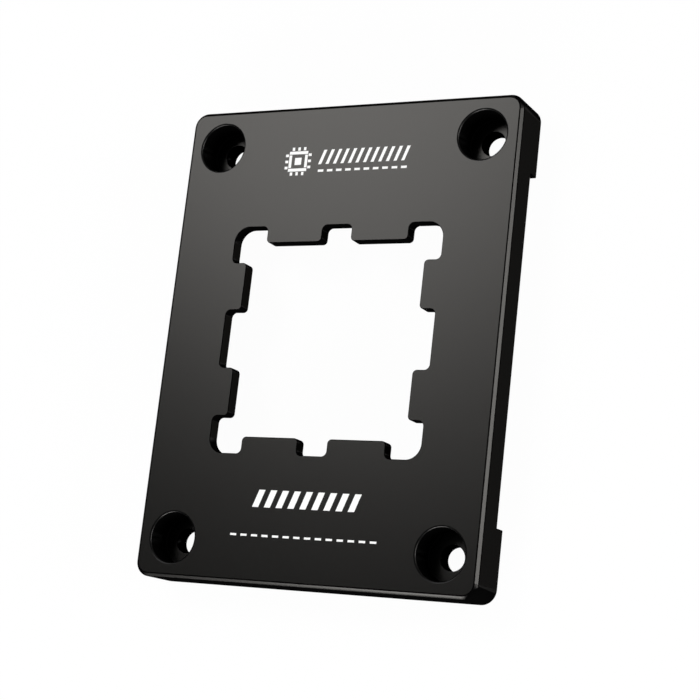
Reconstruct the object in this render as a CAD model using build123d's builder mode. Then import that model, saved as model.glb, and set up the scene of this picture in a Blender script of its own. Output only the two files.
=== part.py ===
from build123d import *
import os

# A screw-down frame that holds a square processor in its socket, milled from one plate.
# Sizes are in millimetres. The frame lies on its end bars with its face up, its width
# along X and its length along Y. The origin is the middle of the underside.

# Plate
plate_width = 54.5
plate_length = 71.1
plate_thickness = 6.95
plate_corner_radius = 2.2
face_chamfer = 0.5

# Channel across the underside, which clears the socket body and leaves an end bar on either side
channel_length = 50.4
channel_depth = 2.1

# Pocket in the underside for the processor's carrier, under a lip that presses on it. The
# processor sits a little to the left of the plate's middle, and the window goes with it.
processor_offset_x = -0.13
carrier_side = 40.0
carrier_clearance = 0.5
pocket_corner_radius = 1.5
lip_thickness = 2.05

# Window for the processor's lid, whose walls stand back between eight tabs
window_side = 34.05
window_corner_count = 4
window_corner_radius = 2.3
tab_reach = 2.5
tab_tip_radius = 0.65
tab_root_radius = 0.8
end_tab_width = 9.2
end_tab_spacing = 14.0
side_tab_width = 7.2
side_tab_spacing = 15.9

# Screw holes, whose heads sink below the face
screw_spacing_x = 42.8
screw_spacing_y = 59.4
bore_diameter = 3.6
counterbore_diameter = 7.3
counterbore_depth = 4.2
mouth_chamfer = 0.2

pocket_side = carrier_side + 2 * carrier_clearance
pocket_depth = plate_thickness - lip_thickness
tab_row_spacing = window_side - tab_reach


def reach(corner):
    """How far a corner of the window lies from the window's middle, square to its wall."""
    return max(abs(corner.X), abs(corner.Y))


with BuildPart() as frame:
    # The plate, with its upper edge broken all round
    with BuildSketch():
        RectangleRounded(plate_width, plate_length, plate_corner_radius)
    extrude(amount=plate_thickness)
    chamfer(frame.faces().sort_by(Axis.Z)[-1].edges(), face_chamfer)

    # The channel runs out through both long sides
    with BuildSketch():
        Rectangle(plate_width, channel_length)
    extrude(amount=channel_depth, mode=Mode.SUBTRACT)

    with BuildSketch(Plane((processor_offset_x, 0, 0))):
        RectangleRounded(pocket_side, pocket_side, pocket_corner_radius)
    extrude(amount=pocket_depth, mode=Mode.SUBTRACT)

    # The window opens the lip. The tips of its tabs lie nearest its middle, their roots lie
    # on its walls, and its own corners lie farthest out.
    with BuildSketch(Plane((processor_offset_x, 0, pocket_depth))) as window:
        Rectangle(window_side, window_side)
        with GridLocations(end_tab_spacing, tab_row_spacing, 2, 2):
            Rectangle(end_tab_width, tab_reach, mode=Mode.SUBTRACT)
        with GridLocations(tab_row_spacing, side_tab_spacing, 2, 2):
            Rectangle(tab_reach, side_tab_width, mode=Mode.SUBTRACT)
        fillet(window.vertices().group_by(reach)[0], tab_tip_radius)
        outermost = window.vertices().group_by(reach)[-1].sort_by(SortBy.DISTANCE)
        fillet(outermost[:-window_corner_count], tab_root_radius)
        fillet(window.vertices().sort_by(SortBy.DISTANCE)[-window_corner_count:], window_corner_radius)
    extrude(amount=lip_thickness, mode=Mode.SUBTRACT)

    # One screw hole near each corner, with its mouth chamfered
    with Locations(Plane.XY.offset(plate_thickness)):
        with GridLocations(screw_spacing_x, screw_spacing_y, 2, 2):
            CounterBoreHole(bore_diameter / 2, counterbore_diameter / 2, counterbore_depth)
    chamfer(frame.edges(Select.LAST).group_by(Axis.Z)[-1], mouth_chamfer)

frame.part.label = "retention_frame"
os.makedirs("parts", exist_ok=True)
export_step(frame.part, "parts/retention_frame.step")
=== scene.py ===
"""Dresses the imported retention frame: its finish, plain marks on its face, a pale floor and soft light.

Lengths are in metres, in the frame of the CAD part: the plate lies on its underside at z = 0, with its
width along X and its length along Y, and the origin is the middle of the underside. The camera and the
marks are placed in millimetres from the middle of the face.
"""

import math

import bpy
from mathutils import Matrix, Vector


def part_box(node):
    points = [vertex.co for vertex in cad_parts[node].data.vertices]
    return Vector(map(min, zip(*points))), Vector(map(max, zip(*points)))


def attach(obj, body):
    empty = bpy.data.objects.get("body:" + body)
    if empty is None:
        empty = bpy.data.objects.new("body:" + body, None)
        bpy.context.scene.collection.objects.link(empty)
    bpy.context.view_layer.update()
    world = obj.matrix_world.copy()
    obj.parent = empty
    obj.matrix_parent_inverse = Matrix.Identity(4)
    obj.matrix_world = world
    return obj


MM = 0.001
PICTURE_SIDE = 700
PLATE = "retention_frame"

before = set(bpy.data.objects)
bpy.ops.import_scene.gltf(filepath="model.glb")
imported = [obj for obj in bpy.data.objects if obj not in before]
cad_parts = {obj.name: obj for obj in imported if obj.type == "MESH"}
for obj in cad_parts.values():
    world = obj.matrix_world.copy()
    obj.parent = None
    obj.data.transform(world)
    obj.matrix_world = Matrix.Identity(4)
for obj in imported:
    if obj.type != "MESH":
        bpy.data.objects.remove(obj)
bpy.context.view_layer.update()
_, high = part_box(PLATE)
face_height = high.z


def on_face(x, y, above=0.0):
    """A point on the face, or above it, in millimetres from the middle of the face."""
    return Vector((x * MM, y * MM, face_height + above * MM))


def add_object(name, data):
    thing = bpy.data.objects.new(name, data)
    bpy.context.scene.collection.objects.link(thing)
    return thing


def add_mesh(name, points, faces, material):
    mesh = bpy.data.meshes.new(name)
    mesh.from_pydata(points, [], faces)
    mesh.materials.append(material)
    return add_object(name, mesh)


# Camera

eye = on_face(123.15, -52.70, 221.45)
aim = on_face(4.25, -1.62)
plate_lean = math.radians(6.48)
focal_length_px = 1808.4
sensor_width_mm = 36.0
nearest, farthest = 0.01, 20.0


def make_camera():
    """The photograph's view, in which the plate's length leans to the right by plate_lean."""
    data = bpy.data.cameras.new("camera")
    data.sensor_width = sensor_width_mm
    data.lens = focal_length_px / PICTURE_SIDE * sensor_width_mm
    data.clip_start, data.clip_end = nearest, farthest
    camera = add_object("camera", data)
    back = (eye - aim).normalized()
    right = Vector((0, 1, 0)).cross(back).normalized()
    axes = Matrix((right, back.cross(right), back)).transposed().to_4x4()
    camera.matrix_world = Matrix.Translation(eye) @ axes @ Matrix.Rotation(plate_lean, 4, "Z")
    bpy.context.scene.camera = camera


# Node helpers


def new_material(name):
    material = bpy.data.materials.new(name)
    material.use_nodes = True
    tree = material.node_tree
    shader = tree.nodes["Principled BSDF"]
    return material, tree, shader


def math_node(tree, operation, *values, clamp=False):
    """The result of a Math node on numbers and sockets."""
    node = tree.nodes.new("ShaderNodeMath")
    node.operation = operation
    node.use_clamp = clamp
    for socket, value in zip(node.inputs, values):
        if isinstance(value, (int, float)):
            socket.default_value = value
        else:
            tree.links.new(value, socket)
    return node.outputs["Value"]


def blend(tree, share, first, second):
    """A value that goes from first to second as share goes from 0 to 1.

    It is a number where second is a plain number, and a colour otherwise.
    """
    node = tree.nodes.new("ShaderNodeMix")
    numbers = isinstance(second, (int, float))
    kind = "VALUE" if numbers else "RGBA"
    node.data_type = "FLOAT" if numbers else "RGBA"
    factor = next(i for i in node.inputs if i.name == "Factor" and i.type == "VALUE")
    ends = [i for i in node.inputs if i.name in ("A", "B") and i.type == kind]
    tree.links.new(share, factor)
    for socket, value in zip(ends, (first, second)):
        if isinstance(value, bpy.types.NodeSocket):
            tree.links.new(value, socket)
        else:
            socket.default_value = value
    return next(o for o in node.outputs if o.type == kind)


def components(tree, kind):
    """The X, Y and Z sockets of one kind of texture coordinate."""
    coordinates = tree.nodes.new("ShaderNodeTexCoord")
    parts = tree.nodes.new("ShaderNodeSeparateXYZ")
    tree.links.new(coordinates.outputs[kind], parts.inputs["Vector"])
    return parts.outputs


# Materials

face_colour = (0.0246, 0.0240, 0.0230, 1)
# Painted shade: the cut walls are darker than the face, a little in the window and much more in the screw
# holes.
window_wall_colour = (0.0225, 0.0222, 0.0215, 1)
hole_wall_shade_colour = (0.010, 0.010, 0.010, 1)
# Painted shade: the next colour is near black, for the walls facing either end, the plate's rounded
# corners and the broken edges.
painted_shade_colour = (0.001, 0.001, 0.001, 1)
# Painted shade: the rims of the screw holes are darker than the face.
rim_shade_colour = (0.012, 0.012, 0.012, 1)
ink_colour = (0.90, 0.90, 0.89, 1)
floor_colour = (0.9, 0.9, 0.9, 1)

face_roughness = 0.31
cut_roughness = 0.18
outer_wall_roughness = 0.4
matt_roughness = 0.5
ink_roughness = 0.6
floor_roughness = 0.9

# The metal's reflection at grazing angles, and how much of the floor's brightness is plain white
grazing_tint = (0.2, 0.2, 0.2, 1)
floor_white = 0.97

# The grain's bumps, and by how much the roughness wavers with them
grain_size = 0.07 * MM
grain_height = 0.0006 * MM
grain_detail = 2.0
grain_waver = 0.1

# The outer walls and the chamfer lie within outer_band of the outline. Farther than window_end from
# the plate's middle along Y, cut walls belong to the screw holes.
outer_band = 1.0 * MM
window_end = 24.0 * MM

# A surface is upright where its normal's Z is below upright_below. The gains say how fast it comes
# to face an end as its normal turns to Y, and to turn a corner as its normal leaves X or Y.
upright_below = 0.3
endways_gain = 4
turning_gain = 6


def place_shares(tree):
    """Shares of each point, 0 or 1: near the plate's outline, and out where the screw holes are."""
    place = components(tree, "Object")
    across = math_node(tree, "ABSOLUTE", place["X"])
    along = math_node(tree, "ABSOLUTE", place["Y"])
    outline = math_node(tree, "MAXIMUM",
                        math_node(tree, "GREATER_THAN", across, high.x - outer_band),
                        math_node(tree, "GREATER_THAN", along, high.y - outer_band))
    by_screws = math_node(tree, "GREATER_THAN", along, window_end)
    return outline, by_screws


def facing_shares(tree):
    """Shares of each point, from 0 to 1: upright, facing either end, and turning a corner."""
    facing = components(tree, "Normal")
    level = math_node(tree, "ABSOLUTE", facing["Z"])
    upright = math_node(tree, "LESS_THAN", level, upright_below)
    endways = math_node(tree, "ABSOLUTE", facing["Y"])
    endways = math_node(tree, "MULTIPLY", endways, endways_gain, clamp=True)
    turning = math_node(tree, "ABSOLUTE", math_node(tree, "MULTIPLY", facing["X"], facing["Y"]))
    turning = math_node(tree, "MULTIPLY", turning, turning_gain, clamp=True)
    return upright, endways, turning


def grain(tree, shader, roughness):
    """A fine blasted grain: tiny bumps, and a roughness that wavers a little round its mean."""
    coordinates = tree.nodes.new("ShaderNodeTexCoord")
    noise = tree.nodes.new("ShaderNodeTexNoise")
    noise.inputs["Scale"].default_value = 1 / grain_size
    noise.inputs["Detail"].default_value = grain_detail
    bump = tree.nodes.new("ShaderNodeBump")
    bump.inputs["Distance"].default_value = grain_height
    tree.links.new(coordinates.outputs["Object"], noise.inputs["Vector"])
    tree.links.new(noise.outputs["Fac"], bump.inputs["Height"])
    tree.links.new(bump.outputs["Normal"], shader.inputs["Normal"])
    waver = math_node(tree, "MULTIPLY_ADD", noise.outputs["Fac"], grain_waver, 1 - grain_waver / 2)
    tree.links.new(math_node(tree, "MULTIPLY", waver, roughness), shader.inputs["Roughness"])


def subdue_gloss(shader):
    """Leaves no gloss on what is matt, and little glare at grazing angles on what is metallic."""
    shader.inputs["Specular IOR Level"].default_value = 0.0
    shader.inputs["Specular Tint"].default_value = grazing_tint


def black_anodised():
    """The plate's skin: a soft sheen on the face, smoother cut walls inside, and duller side walls.

    Walls that face either end, and the plate's rounded corners, are matt and painted near black:
    painted shade, like the broken edges. The photograph sees the front wall almost edge-on, and
    shows it black. The cut walls are painted darker than the face, as painted shade.
    """
    material, tree, shader = new_material("black_anodised")
    outline, by_screws = place_shares(tree)
    upright, endways, turning = facing_shares(tree)
    outer_wall = math_node(tree, "MULTIPLY", outline, upright)
    cut_wall = math_node(tree, "SUBTRACT", upright, outer_wall)
    # Painted shade: walls facing either end, and the rounded corners along the outline, are painted near
    # black and left matt.
    shaded_end_wall = math_node(tree, "MULTIPLY", upright, endways)
    corner = math_node(tree, "MULTIPLY", outline, turning)
    matt = math_node(tree, "MAXIMUM", shaded_end_wall, corner)

    # Painted shade: the cut walls are painted darker than the face, a little in the window and much more
    # in the screw holes.
    shaded_cut_colour = blend(tree, by_screws, window_wall_colour, hole_wall_shade_colour)
    colour = blend(tree, cut_wall, face_colour, shaded_cut_colour)
    tree.links.new(blend(tree, matt, colour, painted_shade_colour), shader.inputs["Base Color"])
    tree.links.new(math_node(tree, "SUBTRACT", 1, matt), shader.inputs["Metallic"])
    roughness = blend(tree, cut_wall, face_roughness, cut_roughness)
    grain(tree, shader, blend(tree, outer_wall, roughness, outer_wall_roughness))
    subdue_gloss(shader)
    return material


def broken_edge():
    """Painted shade on the broken edges: near black and matt, but darker metallic on the hole rims."""
    material, tree, shader = new_material("broken_edge")
    outline, by_screws = place_shares(tree)
    rim = math_node(tree, "SUBTRACT", by_screws, outline, clamp=True)
    tree.links.new(blend(tree, rim, painted_shade_colour, rim_shade_colour), shader.inputs["Base Color"])
    tree.links.new(rim, shader.inputs["Metallic"])
    grain(tree, shader, blend(tree, rim, matt_roughness, face_roughness))
    subdue_gloss(shader)
    return material


def white_ink():
    material, tree, shader = new_material("white_ink")
    shader.inputs["Base Color"].default_value = ink_colour
    grain(tree, shader, ink_roughness)
    return material


def white_for_some_rays(tree, share):
    """Share of white emission that camera, glossy and transmission rays see, and no other rays."""
    path = tree.nodes.new("ShaderNodeLightPath")
    seen = math_node(tree, "ADD", path.outputs["Is Camera Ray"], path.outputs["Is Glossy Ray"])
    seen = math_node(tree, "ADD", seen, path.outputs["Is Transmission Ray"], clamp=True)
    return math_node(tree, "MULTIPLY", seen, share)


def pale_floor():
    """A matt floor that looks white, by itself and in the plate, and adds no light of its own."""
    material, tree, shader = new_material("pale_floor")
    shader.inputs["Base Color"].default_value = floor_colour
    shader.inputs["Roughness"].default_value = floor_roughness
    shader.inputs["Specular IOR Level"].default_value = 0.0
    white = tree.nodes.new("ShaderNodeEmission")
    mix = tree.nodes.new("ShaderNodeMixShader")
    tree.links.new(white_for_some_rays(tree, floor_white), mix.inputs["Fac"])
    tree.links.new(shader.outputs["BSDF"], mix.inputs[1])
    tree.links.new(white.outputs["Emission"], mix.inputs[2])
    tree.links.new(mix.outputs["Shader"], tree.nodes["Material Output"].inputs["Surface"])
    return material


# Marks on the face. They start ink_root below it and end ink_thickness above it, in millimetres.

ink_root = 0.002
ink_thickness = 0.008


def bar(x, y, width, height, lean=0.0):
    """The corners, in millimetres on the face, of an upright bar whose top leans to the right."""
    half, shift = width / 2, lean / 2
    below, above = y - height / 2, y + height / 2
    return [(x - half - shift, below), (x + half - shift, below),
            (x + half + shift, above), (x - half + shift, above)]


def row(left, right, count, y, width, height, lean=0.0):
    """Equal bars set side by side, with the first at left and the last at right."""
    step = (right - left) / (count - 1)
    return [bar(left + i * step, y, width, height, lean) for i in range(count)]


def chip_mark(x, y):
    """A small square chip: a core, four sides round it and three pins on each, all a hair apart."""
    outer, line, core, gap = 3.1, 0.45, 1.1, 0.12
    pin_width, pin_length, pin_pitch = 0.4, 0.5, 0.95
    arm = (outer - line) / 2
    reach = (outer + pin_length) / 2 + gap
    shapes = [bar(x, y, core, core)]
    for side in (-1, 1):
        shapes.append(bar(x, y + side * arm, outer, line))
        shapes.append(bar(x + side * arm, y, line, outer - 2 * (line + gap)))
        for place in (-pin_pitch, 0, pin_pitch):
            shapes.append(bar(x + place, y + side * reach, pin_width, pin_length))
            shapes.append(bar(x + side * reach, y + place, pin_length, pin_width))
    return shapes


def print_on_face(name, shapes, ink):
    """One thin closed layer of ink for each shape, all in one mesh."""
    points, faces = [], []
    for shape in shapes:
        first, count = len(points), len(shape)
        points += [on_face(x, y, -ink_root) for x, y in shape]
        points += [on_face(x, y, ink_thickness) for x, y in shape]
        faces.append([first + i for i in reversed(range(count))])
        faces.append([first + count + i for i in range(count)])
        for i in range(count):
            j = (i + 1) % count
            faces.append([first + i, first + j, first + count + j, first + count + i])
    marks = add_mesh(name, points, faces, ink)
    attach(marks, "root")


def make_marks():
    """A chip, slanted bars and dashes behind the window, and bars and dashes in front of it."""
    ink = white_ink()
    rear = chip_mark(x=-8.0, y=27.0)
    rear += row(left=-3.9, right=9.7, count=12, y=27.5, width=0.5, height=2.2, lean=0.8)
    rear += row(left=-4.0, right=9.6, count=10, y=25.4, width=0.9, height=0.35)
    print_on_face("rear_marks", rear, ink)
    front = row(left=-7.7, right=7.7, count=9, y=-23.4, width=1.0, height=2.5, lean=0.9)
    front += row(left=-11.2, right=11.2, count=14, y=-28.7, width=1.0, height=0.3)
    print_on_face("front_marks", front, ink)


# Stage

floor_side = 6.0


def make_floor():
    half = floor_side / 2
    corners = [(-half, -half, 0), (half, -half, 0), (half, half, 0), (-half, half, 0)]
    floor = add_mesh("floor", corners, [(0, 1, 2, 3)], pale_floor())


def softbox(name, azimuth, elevation, distance, width, height, radiance):
    """A rectangular lamp that faces the plate. Azimuth 0 is over the +X side and 90 over the +Y side."""
    data = bpy.data.lights.new(name, "AREA")
    data.shape = "RECTANGLE"
    data.size, data.size_y = width, height
    data.energy = math.pi * width * height * radiance
    lamp = add_object(name, data)
    a, e = math.radians(azimuth), math.radians(elevation)
    out = Vector((math.cos(a) * math.cos(e), math.sin(a) * math.cos(e), math.sin(e)))
    lamp.location = on_face(0, 0) + out * distance
    side = Vector((-math.sin(a), math.cos(a), 0))
    lamp.rotation_mode = "QUATERNION"
    lamp.rotation_quaternion = Matrix((side, out.cross(side), out)).transposed().to_quaternion()
    lamp.visible_camera = False


def make_light():
    """One lamp for the sheen on the face, and two low ones for the chamfer's right side and front."""
    softbox("key_softbox", azimuth=135.4, elevation=51.9, distance=0.715,
            width=0.322, height=0.291, radiance=8.5)
    softbox("side_softbox", azimuth=3.9, elevation=12.0, distance=0.577,
            width=0.415, height=0.245, radiance=10.9)
    softbox("front_softbox", azimuth=263.4, elevation=12.8, distance=0.566,
            width=0.520, height=0.290, radiance=11.2)


def make_sky():
    """Dim overhead, and nearly white just above the horizon, round the edge of the floor."""
    white_up_to, dim_from = 0.05, 0.65
    white, dim = 0.95, 0.1
    world = bpy.data.worlds.new("studio")
    world.use_nodes = True
    tree = world.node_tree
    background = tree.nodes["Background"]
    background.inputs["Strength"].default_value = 1.0
    height = tree.nodes.new("ShaderNodeMapRange")
    height.inputs["From Min"].default_value = white_up_to
    height.inputs["From Max"].default_value = dim_from
    height.inputs["To Min"].default_value = white
    height.inputs["To Max"].default_value = dim
    tree.links.new(components(tree, "Generated")["Z"], height.inputs["Value"])
    tree.links.new(height.outputs["Result"], background.inputs["Color"])
    bpy.context.scene.world = world


# Plate

weld_distance = 1e-6
flat_within = math.radians(0.5)
broken_edge_width = 0.105 * MM
broken_edge_segments = 2
broken_edge_slot = 1
sharp_from = math.radians(30)


def dress_plate():
    """Breaks every edge by a hair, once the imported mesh's seams and flat faces are joined again."""
    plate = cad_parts[PLATE]
    plate.data.materials.clear()
    plate.data.materials.append(black_anodised())
    plate.data.materials.append(broken_edge())
    weld = plate.modifiers.new("weld", "WELD")
    weld.merge_threshold = weld_distance
    flat = plate.modifiers.new("whole_faces", "DECIMATE")
    flat.decimate_type = "DISSOLVE"
    flat.angle_limit = flat_within
    bevel = plate.modifiers.new("broken_edges", "BEVEL")
    bevel.width = broken_edge_width
    bevel.use_clamp_overlap = False
    # The broken edges take the broken_edge material, with its painted shade.
    bevel.material = broken_edge_slot
    bevel.segments = broken_edge_segments
    bevel.limit_method = "ANGLE"
    bevel.angle_limit = sharp_from
    bevel.harden_normals = True


make_camera()
make_floor()
make_light()
make_sky()
dress_plate()
make_marks()

bpy.context.scene.view_settings.view_transform = "Standard"
